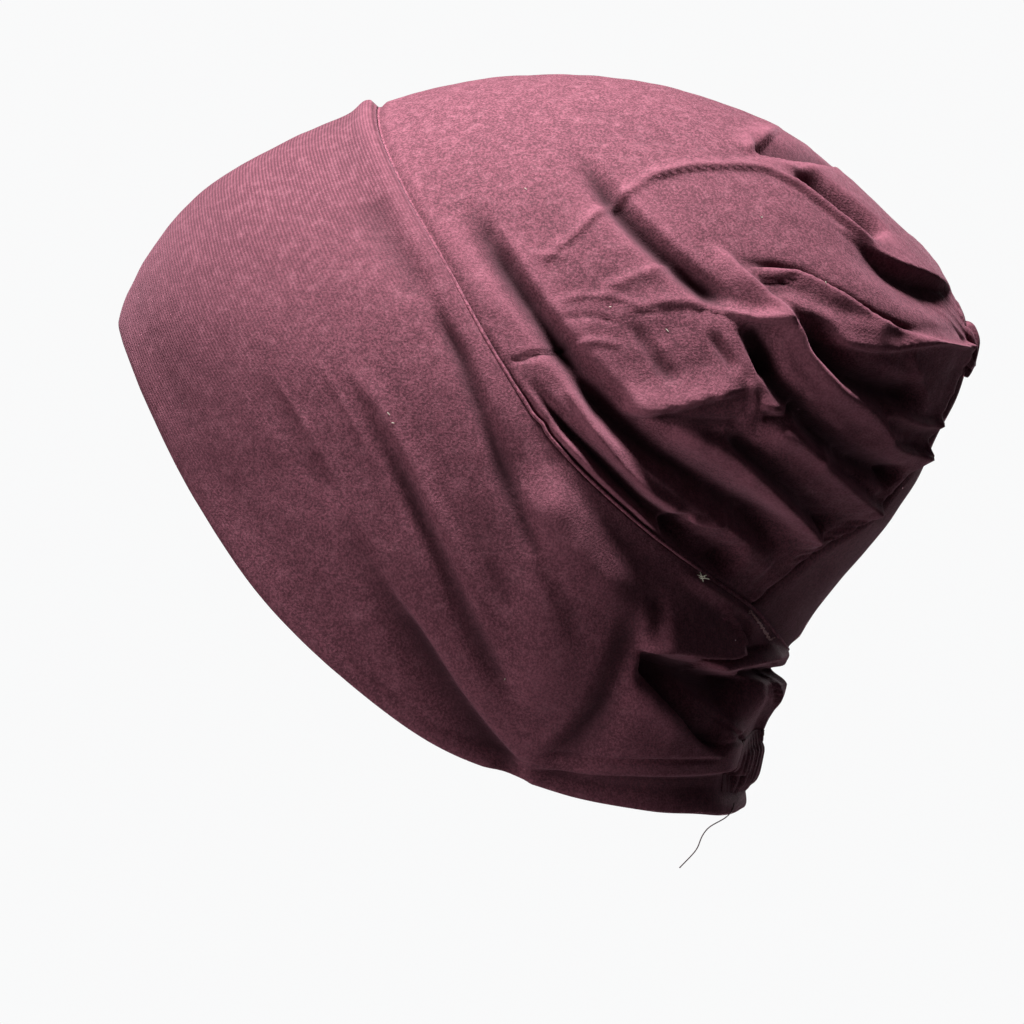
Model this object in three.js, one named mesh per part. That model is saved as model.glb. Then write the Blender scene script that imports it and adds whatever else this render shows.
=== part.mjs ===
import * as THREE from "three";

// A jersey underscarf cap, in millimetres, in the form that it has on a head.
// The face looks along -X and up is +Z. Y = 0 is the middle plane, and the wearer's left is -Y.
// The origin is on the inside of the crown, where the top of the head bears.

// Driving dimensions.
const capLength = 215; // from the forehead to the gathered knot at the back
const capHeight = 184; // from the nape hem to the top
const capWidth = 156; // over the ears
const seatFromForehead = 107; // how far behind the forehead the top of the head bears
const bandWall = 2.2; // the band is two layers of jersey
const crownWall = 1.3; // the crown is one layer
const stripWall = 1.6;
const casingWall = 2.0;
const seamThickness = 1.8; // across the raised seam between band and crown
const sewnGap = 0.35; // clearance between sewn pieces
const hemRoll = 0.7; // how far the folded face hem stands proud
const hemRollWidth = 3.2;
const edgeLift = 1.3; // how far the band's edge stands proud beside the seam
const edgeLiftWidth = 7;
const edgeLiftSpan = 0.35; // over this share of the way from the top to the middle of the back
const foldDepth = 6; // the deepest fold of the crown
const foldWidth = 17; // a usual fold reaches half as far on either side of its line
const foldSeamFade = 8; // folds flatten over this far beside the seam
const foldStripFade = 10; // and over this far beside the back strip
const foldEnd = 0.25; // share of a fold's length over which it begins or ends
const gatherDepth = 1.2; // ripples of the crown along the back strip
const gatherReach = 36; // how far those ripples run into the crown
const gatherCount = 8; // ripples on each side
const knotHeight = 3.2; // the pinched end of the gathers above the strip
const knotRadius = 8;
const stripHalfWidth = 27; // of the back strip at its foot
const casingHeight = 17; // the elastic casing at the nape
const casingHalfWidth = 27;
const casingGap = 1.1; // clearance between the casing and the folds of the band under it
const casingRipple = 0.7;
const casingRim = 2.5; // the ripples flatten over this far inside its edges
const casingRippleCount = 9;

// The side view is drawn with a length of 1 and this height. Shares of length and height follow it.
const drawnHeight = 0.857;
const middle = { along: 0.467, up: 0.44 };

// The side outline round that middle, in degrees up from the back. The reach is a share of the length,
// and the taper says how pointed the cap is across, with 0.5 for a round section. From 165 to 300
// degrees the outline is that of the face and neck, and only sets how wide the cap is at its hem.
const outline = [
  { angle: 0, reach: 0.48, taper: 0.6 },
  { angle: 10, reach: 0.521, taper: 0.56 },
  { angle: 20, reach: 0.521, taper: 0.52 },
  { angle: 32, reach: 0.49, taper: 0.5 },
  { angle: 46, reach: 0.467, taper: 0.5 },
  { angle: 62, reach: 0.441, taper: 0.5 },
  { angle: 80, reach: 0.42, taper: 0.5 },
  { angle: 98, reach: 0.412, taper: 0.5 },
  { angle: 116, reach: 0.417, taper: 0.5 },
  { angle: 131, reach: 0.439, taper: 0.5 },
  { angle: 145, reach: 0.469, taper: 0.5 },
  { angle: 160, reach: 0.484, taper: 0.5 },
  { angle: 178, reach: 0.47, taper: 0.5 },
  { angle: 194, reach: 0.464, taper: 0.5 },
  { angle: 212, reach: 0.497, taper: 0.5 },
  { angle: 232, reach: 0.553, taper: 0.5 },
  { angle: 253, reach: 0.591, taper: 0.5 },
  { angle: 272, reach: 0.584, taper: 0.5 },
  { angle: 289, reach: 0.562, taper: 0.5 },
  { angle: 300, reach: 0.51, taper: 0.52 },
  { angle: 309, reach: 0.452, taper: 0.6 },
  { angle: 322, reach: 0.397, taper: 0.68 },
  { angle: 335, reach: 0.404, taper: 0.68 },
  { angle: 347, reach: 0.437, taper: 0.64 },
];

// The face hem and the seam, from the forehead and the top down the side to the back. Rows that
// face each other are joined across the band. Each place is a share of length and of height.
const bandRows = [
  { hem: [0, 0.662], seam: [0.298, 0.958] },
  { hem: [0.014, 0.619], seam: [0.308, 0.906] },
  { hem: [0.049, 0.526], seam: [0.334, 0.825] },
  { hem: [0.101, 0.414], seam: [0.38, 0.723] },
  { hem: [0.171, 0.296], seam: [0.444, 0.601] },
  { hem: [0.258, 0.195], seam: [0.52, 0.493] },
  { hem: [0.363, 0.103], seam: [0.601, 0.391] },
  { hem: [0.479, 0.043], seam: [0.677, 0.32] },
  { hem: [0.607, 0.01], seam: [0.729, 0.275] },
  { hem: [0.683, 0.002], seam: [0.758, 0.239] },
  { hem: [0.726, 0.002], seam: [0.777, 0.215] },
];

// The back strip from its top under the knot, by outline angle. Its foot stands on the seam.
// Each half is a share of stripHalfWidth.
const stripRows = [
  { angle: 12, half: 0.056 },
  { angle: 9, half: 0.185 },
  { angle: 3, half: 0.296 },
  { angle: -6, half: 0.444 },
  { angle: -14, half: 0.704 },
  { angle: -22, half: 1 },
];

// Along the seam, 0 is the top and 1 the middle of the back. The strip's foot takes in what is past
// stripFoot, and the crown ends at crownFoot.
const stripFoot = 0.8;
const crownFoot = 0.775;

// Which part of the strip's edge each step along the crown's seam is gathered to: 0 is the top.
const gatherTo = [0, 0.05, 0.1, 0.17, 0.28, 0.43, 0.6, 0.79, 0.96];

// Folds, dents and swellings, as three places in the side view. The width is a share of foldWidth on
// either side of the line, above and below it, and the rise a share of foldDepth.
const crownFolds = [
  { line: [[0.54, 0.875], [0.64, 0.75], [0.72, 0.645]], above: 0.5, below: 0.6, rise: -0.45 },
  { line: [[0.66, 0.745], [0.79, 0.635], [0.93, 0.475]], above: 0.6, below: 0.5, rise: 0.65 },
  { line: [[0.43, 0.79], [0.51, 0.64], [0.66, 0.41]], above: 0.5, below: 0.65, rise: -0.75 },
  { line: [[0.6, 0.66], [0.66, 0.6], [0.72, 0.57]], above: 0.7, below: 0.45, rise: 0.5 },
  { line: [[0.72, 0.73], [0.83, 0.685], [0.97, 0.625]], above: 0.5, below: 0.5, rise: 0.6 },
  { line: [[0.77, 0.86], [0.87, 0.79], [0.965, 0.69]], above: 0.5, below: 0.6, rise: -0.75 },
  { line: [[0.8, 0.63], [0.87, 0.575], [0.94, 0.545]], above: 0.45, below: 0.5, rise: -0.6 },
  { line: [[0.73, 0.51], [0.8, 0.46], [0.88, 0.405]], above: 0.45, below: 0.5, rise: 0.6 },
  { line: [[0.7, 0.47], [0.76, 0.41], [0.82, 0.355]], above: 0.45, below: 0.45, rise: -0.5 },
  { line: [[0.58, 0.52], [0.67, 0.42], [0.76, 0.33]], above: 0.45, below: 0.45, rise: 0.45 },
];
const bandFolds = [
  { line: [[0.31, 0.79], [0.4, 0.6], [0.48, 0.4]], above: 0.6, below: 0.65, rise: -0.3 },
  { line: [[0.31, 0.44], [0.4, 0.25], [0.46, 0.1]], above: 0.5, below: 0.5, rise: -0.35 },
  { line: [[0.5, 0.3], [0.52, 0.2], [0.5, 0.1]], above: 1.5, below: 1.7, rise: 0.85 },
  { line: [[0.4, 0.08], [0.55, 0.045], [0.72, 0.04]], above: 0.45, below: 0.7, rise: -0.5 },
  { line: [[0.62, 0.2], [0.7, 0.16], [0.77, 0.15]], above: 0.6, below: 0.8, rise: -0.85 },
  { line: [[0.66, 0.08], [0.72, 0.1], [0.78, 0.12]], above: 0.5, below: 0.5, rise: 0.3 },
  { line: [[0.765, 0.15], [0.742, 0.085], [0.72, 0]], above: 1.5, below: 1.5, rise: -0.55 },
];

// Facets along and across each piece.
const facets = {
  band: { round: 64, across: 12 },
  crown: { round: 72, across: 20 },
  seam: { round: 64, section: 6 },
  strip: { down: 20, across: 6 },
  casing: { round: 36, across: 5 },
};

const degrees = Math.PI / 180;
const smooth = (share) => {
  const s = THREE.MathUtils.clamp(share, 0, 1);
  return s * s * (3 - 2 * s);
};

// A smooth curve through rows of numbers at rising places, by cubic pieces. A period closes it.
function curveThrough(places, values, period = 0) {
  const count = places.length;
  const at = (i) => {
    const turn = period ? Math.floor(i / count) : 0;
    const j = period ? i - turn * count : THREE.MathUtils.clamp(i, 0, count - 1);
    return [places[j] + turn * period, values[j]];
  };
  const slope = (i) => {
    const [before, after] = [at(i - 1), at(i + 1)];
    return (after[1] - before[1]) / (after[0] - before[0]);
  };
  return (place) => {
    const x = period ? ((place - places[0]) % period + period) % period + places[0] : place;
    let i = 0;
    while (i < count - (period ? 1 : 2) && at(i + 1)[0] <= x) i++;
    const [[x0, y0], [x1, y1]] = [at(i), at(i + 1)];
    const step = x1 - x0;
    const s = THREE.MathUtils.clamp((x - x0) / step, 0, 1);
    const [s2, s3] = [s * s, s * s * s];
    return (
      (2 * s3 - 3 * s2 + 1) * y0 + (s3 - 2 * s2 + s) * step * slope(i) +
      (3 * s2 - 2 * s3) * y1 + (s3 - s2) * step * slope(i + 1)
    );
  };
}

const outlineAngles = outline.map((row) => row.angle);
const reachAt = curveThrough(outlineAngles, outline.map((row) => row.reach), 360);
const taperAt = curveThrough(outlineAngles, outline.map((row) => row.taper), 360);

// Every place on the cap is named by a unit direction: x and z give its place in the side view, and y
// how far it is round towards that side. This is the smooth form before any folds.
function capPoint(direction) {
  const out = Math.min(1, Math.hypot(direction.x, direction.z));
  const angle = Math.atan2(direction.z, direction.x) / degrees;
  const reach = reachAt(angle) * out;
  const across = Math.pow(1 - out * out, taperAt(angle));
  const scale = reach / Math.max(out, 1e-9);
  return new THREE.Vector3(
    (middle.along + scale * direction.x) * capLength - seatFromForehead,
    Math.sign(direction.y) * across * capWidth / 2,
    ((middle.up + scale * direction.z) / drawnHeight - 1) * capHeight + crownWall,
  );
}

// The direction of a place in the side view, given as shares of length and height.
function directionAt([along, up], side) {
  const [x, z] = [along - middle.along, up * drawnHeight - middle.up];
  const out = Math.min(1, Math.hypot(x, z) / reachAt(Math.atan2(z, x) / degrees));
  const turn = Math.atan2(z, x);
  return new THREE.Vector3(out * Math.cos(turn), side * Math.sqrt(1 - out * out), out * Math.sin(turn));
}

// The direction of a place at an outline angle and at a distance from the middle plane.
function directionBeside(angle, half, side) {
  const inside = Math.pow(half / (capWidth / 2), 1 / taperAt(angle));
  const out = Math.sqrt(1 - inside);
  return new THREE.Vector3(
    out * Math.cos(angle * degrees), side * Math.sqrt(inside), out * Math.sin(angle * degrees));
}

const between = (from, to, share) => {
  const angle = from.angleTo(to);
  if (angle < 1e-6) return from.clone();
  const [a, b] = [Math.sin((1 - share) * angle), Math.sin(share * angle)];
  return from.clone().multiplyScalar(a).addScaledVector(to, b).normalize();
};

// A smooth path of directions through a list of them, from 0 to 1.
function pathThrough(directions) {
  const places = directions.map((_, i) => i / (directions.length - 1));
  const [x, y, z] = ["x", "y", "z"].map((axis) => curveThrough(places, directions.map((d) => d[axis])));
  return (share) => new THREE.Vector3(x(share), y(share), z(share)).normalize();
}

// A path down one side and the same path down the other, as one from -1 (left) to 1 (right).
function bothSides(makeDirections) {
  const [left, right] = [-1, 1].map((side) => pathThrough(makeDirections(side)));
  return (share) => (share < 0 ? left(-share) : right(share));
}

const hemPath = bothSides((side) => bandRows.map((row) => directionAt(row.hem, side)));
const seamPath = bothSides((side) => bandRows.map((row) => directionAt(row.seam, side)));
const stripPath = bothSides((side) => [
  ...stripRows.map((row) => directionBeside(row.angle, row.half * stripHalfWidth, side)),
  seamPath(side * stripFoot),
]);
const gatherAt = curveThrough(gatherTo.map((_, i) => (i / (gatherTo.length - 1)) * crownFoot), gatherTo);

// The way out of the smooth form at a direction.
function outward(direction) {
  const step = 0.004;
  const aside = new THREE.Vector3(0, 1, 0);
  if (Math.abs(direction.y) > 0.9) aside.set(1, 0, 0);
  const first = aside.clone().cross(direction).normalize();
  const second = direction.clone().cross(first);
  const slopeOf = (way) =>
    capPoint(direction.clone().addScaledVector(way, step).normalize())
      .sub(capPoint(direction.clone().addScaledVector(way, -step).normalize()));
  return slopeOf(first).cross(slopeOf(second)).normalize();
}

// A fold's line on the cap, as points on one side.
function foldPoints({ line: [from, through, to] }, side) {
  const steps = 8;
  const points = [];
  for (let i = 0; i <= steps; i++) {
    const t = i / steps;
    const place = from.map((v, k) =>
      v * (1 - t) * (1 - 2 * t) + 4 * through[k] * t * (1 - t) + to[k] * t * (2 * t - 1));
    points.push(capPoint(directionAt(place, side)));
  }
  return points;
}

// How far the folds lift or sink a point of the smooth form.
function foldsOf(rows) {
  const made = [-1, 1].flatMap((side) =>
    rows.map((row) => ({ ...row, side, points: foldPoints(row, side) })));
  const blunt = 0.15;
  const segment = new THREE.Line3();
  const near = new THREE.Vector3();
  return (point, normal) => {
    let lift = 0;
    for (const fold of made) {
      if (point.y * fold.side < 0) continue;
      let [best, share, sign] = [Infinity, 0, 1];
      for (let i = 0; i < fold.points.length - 1; i++) {
        segment.set(fold.points[i], fold.points[i + 1]);
        const t = segment.closestPointToPointParameter(point, true);
        segment.at(t, near);
        const distance = near.distanceTo(point);
        if (distance < best) {
          best = distance;
          share = (i + t) / (fold.points.length - 1);
          const along = segment.delta(new THREE.Vector3());
          sign = Math.sign(along.cross(normal).dot(point.clone().sub(near))) * fold.side;
        }
      }
      const reach = foldWidth * (sign > 0 ? fold.above : fold.below);
      if (best >= reach) continue;
      const fade = smooth(share / foldEnd + blunt) * smooth((1 - share) / foldEnd + blunt);
      lift += foldDepth * fold.rise * (1 - smooth(best / reach)) * fade;
    }
    return lift;
  };
}
const crownLift = foldsOf(crownFolds);
const bandLift = foldsOf(bandFolds);

// A closed wall from a sheet of directions. The sheet runs (u, v), each from 0 to 1, and lift gives how
// far the outer face stands off the smooth form. A closed ring joins its last column to its first.
function wall(columns, rows, place, lift, thickness, ring = false) {
  const across = rows + 1;
  const down = ring ? columns : columns + 1;
  const faces = [[], []];
  for (let i = 0; i < down; i++) {
    for (let j = 0; j < across; j++) {
      const [u, v] = [i / columns, j / rows];
      const direction = place(u, v);
      const normal = outward(direction);
      const base = capPoint(direction);
      const outer = base.clone().addScaledVector(normal, lift(u, v, base, normal));
      faces[0].push(outer);
      faces[1].push(outer.clone().addScaledVector(normal, -thickness));
    }
  }
  const offset = faces[0].length;
  const index = [];
  const quad = (a, b, c, d) => index.push(a, c, b, a, d, c);
  const at = (i, j, layer) => (i % down) * across + j + layer * offset;
  for (let i = 0; i < columns; i++) {
    for (let j = 0; j < rows; j++) {
      quad(at(i, j, 0), at(i + 1, j, 0), at(i + 1, j + 1, 0), at(i, j + 1, 0));
      quad(at(i, j, 1), at(i, j + 1, 1), at(i + 1, j + 1, 1), at(i + 1, j, 1));
    }
    quad(at(i, 0, 0), at(i, 0, 1), at(i + 1, 0, 1), at(i + 1, 0, 0));
    quad(at(i, rows, 0), at(i + 1, rows, 0), at(i + 1, rows, 1), at(i, rows, 1));
  }
  for (let j = 0; j < rows && !ring; j++) {
    quad(at(0, j, 0), at(0, j + 1, 0), at(0, j + 1, 1), at(0, j, 1));
    quad(at(columns, j, 0), at(columns, j, 1), at(columns, j + 1, 1), at(columns, j + 1, 0));
  }
  const geometry = new THREE.BufferGeometry().setFromPoints(faces.flat());
  geometry.setIndex(index);
  geometry.computeVertexNormals();
  return geometry;
}

// How much of a path's share one millimetre is, where it crosses the cap from one place to another.
const shareOf = (from, to, length) => length / Math.max(1, capPoint(from).distanceTo(capPoint(to)));
const round = (u) => 2 * u - 1;

// The share of a path from the seam towards another place that it takes to pass the seam's side.
function clearOfSeam(share, towards) {
  const step = 0.01;
  const seam = seamPath(share);
  const along = capPoint(seamPath(share + step)).sub(capPoint(seamPath(share - step))).normalize();
  const away = capPoint(between(seam, towards, step)).sub(capPoint(seam)).normalize();
  const slant = Math.max(0.3, away.cross(along).length());
  return shareOf(seam, towards, (seamThickness / 2 + sewnGap) / slant);
}

// The band's edge and the seam are proud over the top of the head and lie flat lower down.
const edgeLiftAt = (share) => 1 - smooth(Math.abs(share) / edgeLiftSpan);

function bandGeometry() {
  const place = (u, v) => {
    const [hem, seam] = [hemPath(round(u)), seamPath(round(u))];
    return between(hem, seam, v * (1 - clearOfSeam(round(u), hem)));
  };
  const lift = (u, v, base, normal) => {
    const across = capPoint(hemPath(round(u))).distanceTo(capPoint(seamPath(round(u))));
    const roll = hemRoll * (1 - smooth((v * across) / hemRollWidth));
    const toSeam = (1 - v) * across;
    const edge = edgeLift * smooth(1 - toSeam / edgeLiftWidth) * edgeLiftAt(round(u));
    return bandLift(base, normal) * smooth(toSeam / foldSeamFade) + roll + edge;
  };
  return wall(facets.band.round, facets.band.across, place, lift, bandWall, true);
}

function crownGeometry() {
  const place = (u, v) => {
    const share = round(u) * crownFoot;
    const seam = seamPath(share);
    const strip = stripPath(Math.sign(share) * gatherAt(Math.abs(share)));
    const start = clearOfSeam(share, strip);
    const end = 1 - shareOf(seam, strip, sewnGap);
    return between(seam, strip, start + (end - start) * v);
  };
  const lift = (u, v, base, normal) => {
    const share = round(u) * crownFoot;
    const [seam, strip] = [seamPath(share), stripPath(Math.sign(share) * gatherAt(Math.abs(share)))];
    const length = capPoint(seam).distanceTo(capPoint(strip));
    const toStrip = (1 - v) * length;
    const toSeam = v * length;
    const ripple = Math.cos(Math.abs(round(u)) * gatherCount * 2 * Math.PI);
    const gathers = gatherDepth * ripple * (1 - smooth(toStrip / gatherReach));
    const flattened = smooth(toSeam / foldSeamFade) * smooth(foldEnd + toStrip / foldStripFade);
    return (crownLift(base, normal) + gathers) * flattened;
  };
  return wall(facets.crown.round, facets.crown.across, place, lift, crownWall);
}

function stripGeometry() {
  const top = directionBeside(stripRows[0].angle, 0, 1);
  const place = (u, v) => {
    const share = u * (1 - clearOfSeam(1, top));
    const [left, right] = [stripPath(-share), stripPath(share)];
    const side = round(v) * (1 - shareOf(left, right, 2 * sewnGap));
    const straight = between(stripPath(-1), stripPath(1), (1 + round(v)) / 2);
    const foot = seamPath((Math.sign(round(v)) || 1) * (1 - (1 - stripFoot) * Math.abs(round(v))));
    return between(left, right, (1 + side) / 2).addScaledVector(foot.sub(straight), smooth(u)).normalize();
  };
  const knot = capPoint(directionBeside(stripRows[1].angle, 0, 1));
  const lift = (u, v, base) => knotHeight * (1 - smooth(base.distanceTo(knot) / knotRadius));
  return wall(facets.strip.down, facets.strip.across, (u, v) => place(u, 1 - v), lift, stripWall);
}

// The raised seam, a closed rope of a section with few sides along the seam path.
function seamGeometry() {
  const columns = facets.seam.round;
  const sides = facets.seam.section;
  const sunk = 0.3; // share of its thickness that lies in the cloth
  const lifted = 0.4; // share of the band's edge lift that it takes part in
  const points = [];
  const index = [];
  const centres = [];
  for (let i = 0; i < columns; i++) {
    const direction = seamPath(round(i / columns));
    const normal = outward(direction);
    const proud = lifted * edgeLift * edgeLiftAt(round(i / columns)) - sunk * seamThickness;
    centres.push({ normal, point: capPoint(direction).addScaledVector(normal, proud) });
  }
  centres.forEach(({ normal, point }, i) => {
    const along = centres[(i + 1) % columns].point.clone().sub(centres[(i + columns - 1) % columns].point);
    const aside = along.cross(normal).normalize();
    for (let k = 0; k < sides; k++) {
      const angle = ((k + 0.5) / sides) * 2 * Math.PI;
      points.push(point.clone()
        .addScaledVector(aside, (Math.cos(angle) * seamThickness) / 2)
        .addScaledVector(normal, (Math.sin(angle) * seamThickness) / 2));
      const [a, b] = [i * sides, ((i + 1) % columns) * sides];
      const next = (k + 1) % sides;
      index.push(a + k, b + next, a + next, a + k, b + k, b + next);
    }
  });
  const geometry = new THREE.BufferGeometry().setFromPoints(points);
  geometry.setIndex(index);
  geometry.computeVertexNormals();
  return geometry;
}

// The elastic casing, stitched on the outside of the band at the nape, from just above its hem.
function casingGeometry() {
  const near = 0.9;
  const half = (1 - near) * shareOf(hemPath(near), hemPath(1), casingHalfWidth);
  const place = (u, v) => {
    const side = -round(u);
    const share = (Math.sign(side) || 1) * (1 - half * Math.abs(side));
    const [hem, seam] = [hemPath(share), seamPath(share)];
    return between(hem, seam, shareOf(hem, seam, hemRollWidth + casingHeight * v));
  };
  const lift = (u, v, base, normal) => {
    const toSide = (1 - Math.abs(round(u))) * casingHalfWidth;
    const toRim = Math.min(v * casingHeight, (1 - v) * casingHeight, toSide);
    const rim = smooth(toRim / casingRim);
    const ripple = casingRipple * (1 + Math.cos(round(u) * casingRippleCount * Math.PI)) * rim;
    return bandLift(base, normal) + casingGap + casingWall + ripple;
  };
  return wall(facets.casing.round, facets.casing.across, place, lift, casingWall);
}

const jersey = (color) => new THREE.MeshStandardMaterial({ color, roughness: 0.9, metalness: 0 });
const bandCloth = jersey(0x6e3a4d);
const crownCloth = jersey(0x7c4157);
const stripCloth = jersey(0x5a2f40);
const seamThread = jersey(0x8a4c63);

const cap = new THREE.Group();
const add = (name, geometry, material) => {
  const mesh = new THREE.Mesh(geometry, material);
  mesh.name = name;
  cap.add(mesh);
};
add("front_band", bandGeometry(), bandCloth);
add("crown", crownGeometry(), crownCloth);
add("crown_seam", seamGeometry(), seamThread);
add("back_strip", stripGeometry(), stripCloth);
add("nape_casing", casingGeometry(), stripCloth);

export default cap;
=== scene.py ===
# Maroon jersey underscarf cap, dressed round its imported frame. Blender 4.5, metres, +Z up.
# The face looks along -X and the wearer's left is -Y. The origin is inside the top of the crown.
import math
import random
import bmesh
import bpy
import numpy as np
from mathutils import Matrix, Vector, noise


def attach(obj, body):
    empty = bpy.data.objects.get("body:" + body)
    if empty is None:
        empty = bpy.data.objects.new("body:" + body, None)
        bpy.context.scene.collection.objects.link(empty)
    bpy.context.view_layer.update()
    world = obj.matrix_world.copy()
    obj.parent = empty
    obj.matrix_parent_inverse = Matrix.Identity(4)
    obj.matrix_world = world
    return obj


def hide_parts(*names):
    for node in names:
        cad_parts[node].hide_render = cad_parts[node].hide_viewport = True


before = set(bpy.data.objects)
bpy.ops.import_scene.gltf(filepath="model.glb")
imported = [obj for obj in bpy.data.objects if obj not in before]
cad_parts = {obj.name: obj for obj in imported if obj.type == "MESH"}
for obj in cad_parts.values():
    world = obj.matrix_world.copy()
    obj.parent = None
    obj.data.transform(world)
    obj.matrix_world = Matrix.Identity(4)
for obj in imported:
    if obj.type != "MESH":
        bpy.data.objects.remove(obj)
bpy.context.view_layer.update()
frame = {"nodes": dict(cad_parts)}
mm = 0.001
print("frame loaded:", ", ".join(frame["nodes"]))


def putInScene(name, data):
    item = bpy.data.objects.new(name, data)
    bpy.context.scene.collection.objects.link(item)
    return item


# Camera: level with the middle of the cap, from its left side
camera = {"distance": 2.2, "farthest": 20, "frameWidth": 0.256, "sensor": 36,
          "aimX": -9.5 * mm, "aimZ": -108.5 * mm}


def makeCamera():
    data = bpy.data.cameras.new("camera")
    data.sensor_width = camera["sensor"]
    data.lens = camera["sensor"] * camera["distance"] / camera["frameWidth"]
    data.clip_end = camera["farthest"]
    eye = putInScene("camera", data)
    eye.location = (camera["aimX"], -camera["distance"], camera["aimZ"])
    eye.rotation_euler = (math.radians(90), 0, 0)
    bpy.context.scene.camera = eye


makeCamera()

# The smooth form that the cloth lies on, drawn in the side view round a middle point
form = {
    "length": 0.215, "height": 0.184, "width": 0.156,
    "seat": 0.107,  # how far behind the forehead the top of the head bears
    "wall": 0.0013,  # of the crown, above the origin
    "drawnHeight": 0.857,  # of a side view with a length of 1
    "middle": (0.467, 0.44),
}
outline = [  # angle up from the back, reach as a share of the length, taper across
    (0, 0.48, 0.6), (10, 0.521, 0.56), (20, 0.521, 0.52), (32, 0.49, 0.5), (46, 0.467, 0.5),
    (62, 0.441, 0.5), (80, 0.42, 0.5), (98, 0.412, 0.5), (116, 0.417, 0.5), (131, 0.439, 0.5),
    (145, 0.469, 0.5), (160, 0.484, 0.5), (178, 0.47, 0.5), (194, 0.464, 0.5), (212, 0.497, 0.5),
    (232, 0.553, 0.5), (253, 0.591, 0.5), (272, 0.584, 0.5), (289, 0.562, 0.5), (300, 0.51, 0.52),
    (309, 0.452, 0.6), (322, 0.397, 0.68), (335, 0.404, 0.68), (347, 0.437, 0.64),
]
bandRows = [  # face hem and seam, from the top to the back, as shares of length and height
    ((0, 0.662), (0.298, 0.958)), ((0.014, 0.619), (0.304, 0.906)), ((0.049, 0.526), (0.334, 0.825)),
    ((0.101, 0.414), (0.378, 0.731)), ((0.171, 0.296), (0.438, 0.604)), ((0.258, 0.195), (0.504, 0.491)),
    ((0.363, 0.103), (0.592, 0.392)), ((0.479, 0.043), (0.674, 0.32)), ((0.607, 0.01), (0.729, 0.275)),
    ((0.683, 0.002), (0.758, 0.239)), ((0.726, 0.002), (0.777, 0.215)),
]
stripRows = [(12, 1.5 * mm), (9, 5 * mm), (3, 8 * mm), (-6, 12 * mm), (-14, 19 * mm), (-22, 27 * mm)]
stripFoot = 0.8  # where the strip's foot stands, along the seam from the top to the middle of the back
gatherRows = [0, 0.05, 0.1, 0.17, 0.28, 0.43, 0.61, 0.81, 1]  # part of the strip's edge for each step


def smooth(x):
    s = np.clip(x, 0, 1)
    return s * s * (3 - 2 * s)


def columns(*parts):
    return np.stack(parts, axis=-1)


def unit(v):
    return v / np.maximum(np.linalg.norm(v, axis=-1, keepdims=True), 1e-12)


# A smooth curve through values at rising places, closed after a period if one is given
def curveThrough(places, values, period=0):
    x0, y0 = np.array(places, float), np.array(values, float)
    if period:
        x0 = np.concatenate([x0[-2:] - period, x0, x0[:3] + period])
        y0 = np.concatenate([y0[-2:], y0, y0[:3]])
    after = np.minimum(np.arange(len(x0)) + 1, len(x0) - 1)
    before = np.maximum(np.arange(len(x0)) - 1, 0)
    slope = (y0[after] - y0[before]) / (x0[after] - x0[before])

    def at(x):
        x = np.mod(x, period) if period else np.asarray(x, float)
        i = np.clip(np.searchsorted(x0, x, side="right") - 1, 0, len(x0) - 2)
        step = x0[i + 1] - x0[i]
        s = np.clip((x - x0[i]) / step, 0, 1)
        s2, s3 = s * s, s * s * s
        return ((2 * s3 - 3 * s2 + 1) * y0[i] + (s3 - 2 * s2 + s) * step * slope[i]
                + (3 * s2 - 2 * s3) * y0[i + 1] + (s3 - s2) * step * slope[i + 1])

    return at


reachAt = curveThrough([row[0] for row in outline], [row[1] for row in outline], 360)
taperAt = curveThrough([row[0] for row in outline], [row[2] for row in outline], 360)


# Unit directions name the places of the form: x and z in the side view, y towards a side
def formPoint(d):
    angle = np.degrees(np.arctan2(d[..., 2], d[..., 0]))
    reach = reachAt(angle)
    across = np.abs(d[..., 1]) ** (2 * taperAt(angle))
    along = form["middle"][0] + reach * d[..., 0]
    up = (form["middle"][1] + reach * d[..., 2]) / form["drawnHeight"] - 1
    return columns(along * form["length"] - form["seat"], np.sign(d[..., 1]) * across * form["width"] / 2,
                   up * form["height"] + form["wall"])


def formNormal(d):
    step = 0.004
    aside = np.where(np.abs(d[..., 1:2]) > 0.9, (1.0, 0, 0), (0, 1.0, 0))
    first = unit(np.cross(aside, d))
    second = np.cross(d, first)
    slopes = [formPoint(unit(d + step * way)) - formPoint(unit(d - step * way)) for way in (first, second)]
    return unit(np.cross(*slopes))


def directionAt(along, up, side):
    x = np.asarray(along) - form["middle"][0]
    z = np.asarray(up) * form["drawnHeight"] - form["middle"][1]
    turn = np.arctan2(z, x)
    out = np.minimum(1, np.hypot(x, z) / reachAt(np.degrees(turn)))
    return columns(out * np.cos(turn), side * np.sqrt(1 - out * out), out * np.sin(turn))


def directionBeside(angle, half, side):
    inside = (np.asarray(half) / (form["width"] / 2)) ** (1 / taperAt(angle))
    out, turn = np.sqrt(1 - inside), np.radians(angle)
    return columns(out * np.cos(turn), side * np.sqrt(inside), out * np.sin(turn))


# Places given in millimetres of the side view, as the folds below are
def directionOfSide(x, z, side):
    along = (np.asarray(x) * mm + form["seat"]) / form["length"]
    return directionAt(along, (np.asarray(z) * mm - form["wall"]) / form["height"] + 1, side)


def between(a, b, share):
    angle = np.arccos(np.clip(np.sum(a * b, axis=-1), -1, 1))[..., None]
    share = np.asarray(share)[..., None]
    bend = np.sin(np.maximum(angle, 1e-6))
    mixed = (np.sin((1 - share) * angle) * a + np.sin(share * angle) * b) / bend
    return unit(np.where(angle < 1e-5, a, mixed))


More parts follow.
